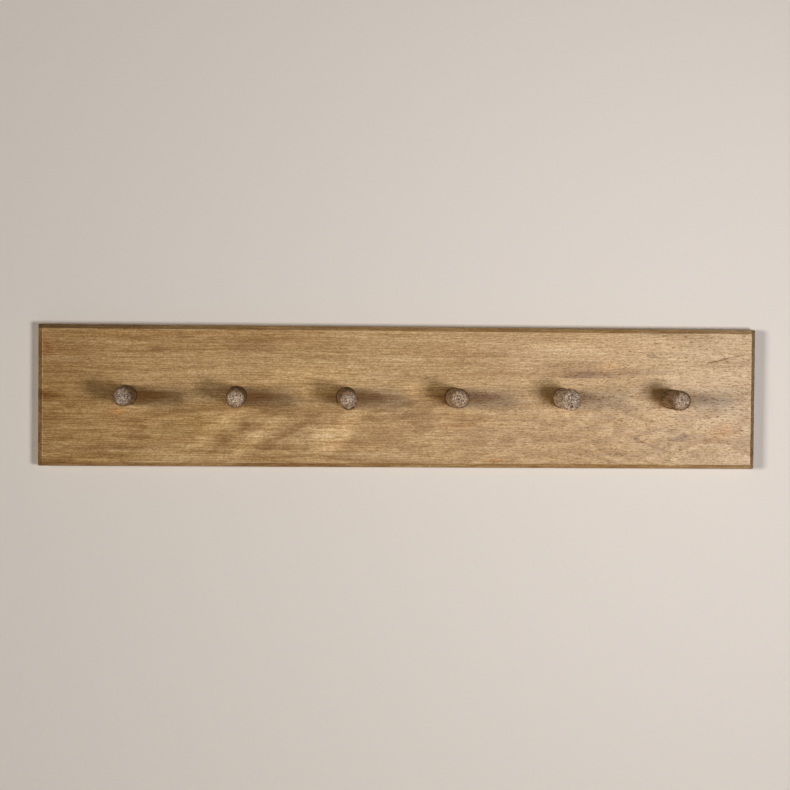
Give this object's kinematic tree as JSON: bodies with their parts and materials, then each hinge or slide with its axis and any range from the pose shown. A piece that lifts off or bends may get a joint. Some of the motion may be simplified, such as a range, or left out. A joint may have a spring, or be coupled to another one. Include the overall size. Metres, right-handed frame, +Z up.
{
  "type": "wall hook rack",
  "caption": "Wide flat oak board with chamfered front edges and a row of plain round wooden pegs for coats, hung on keyhole plates let into its back.",
  "frame": {"origin": "centre of the board's back face, on the wall plane", "axes": "+X along the board, to the right as a person faces the rack; +Y out of the back into the wall, so the pegs point along -Y; +Z up"},
  "size_m": [0.74, 0.083, 0.145],
  "materials": {
    "board_oak": "oiled oak, fine open grain along the board, satin",
    "peg_wood": "weathered grey-brown oak, rough, paler speckled end grain",
    "plate_steel": "bright zinc plate, lightly brushed",
    "screw_steel": "pale yellow zinc plate"
  },
  "bodies": {
    "root": {"back_board": "board_oak", "peg_1": "peg_wood", "peg_screw_1": "screw_steel", "peg_2": "peg_wood", "peg_screw_2": "screw_steel", "peg_3": "peg_wood", "peg_screw_3": "screw_steel", "peg_4": "peg_wood", "peg_screw_4": "screw_steel", "peg_5": "peg_wood", "peg_screw_5": "screw_steel", "peg_6": "peg_wood", "peg_screw_6": "screw_steel", "left_hanger_plate": "plate_steel", "left_hanger_upper_screw": "screw_steel", "left_hanger_lower_screw": "screw_steel", "right_hanger_plate": "plate_steel", "right_hanger_upper_screw": "screw_steel", "right_hanger_lower_screw": "screw_steel"}
  },
  "joints": []
}
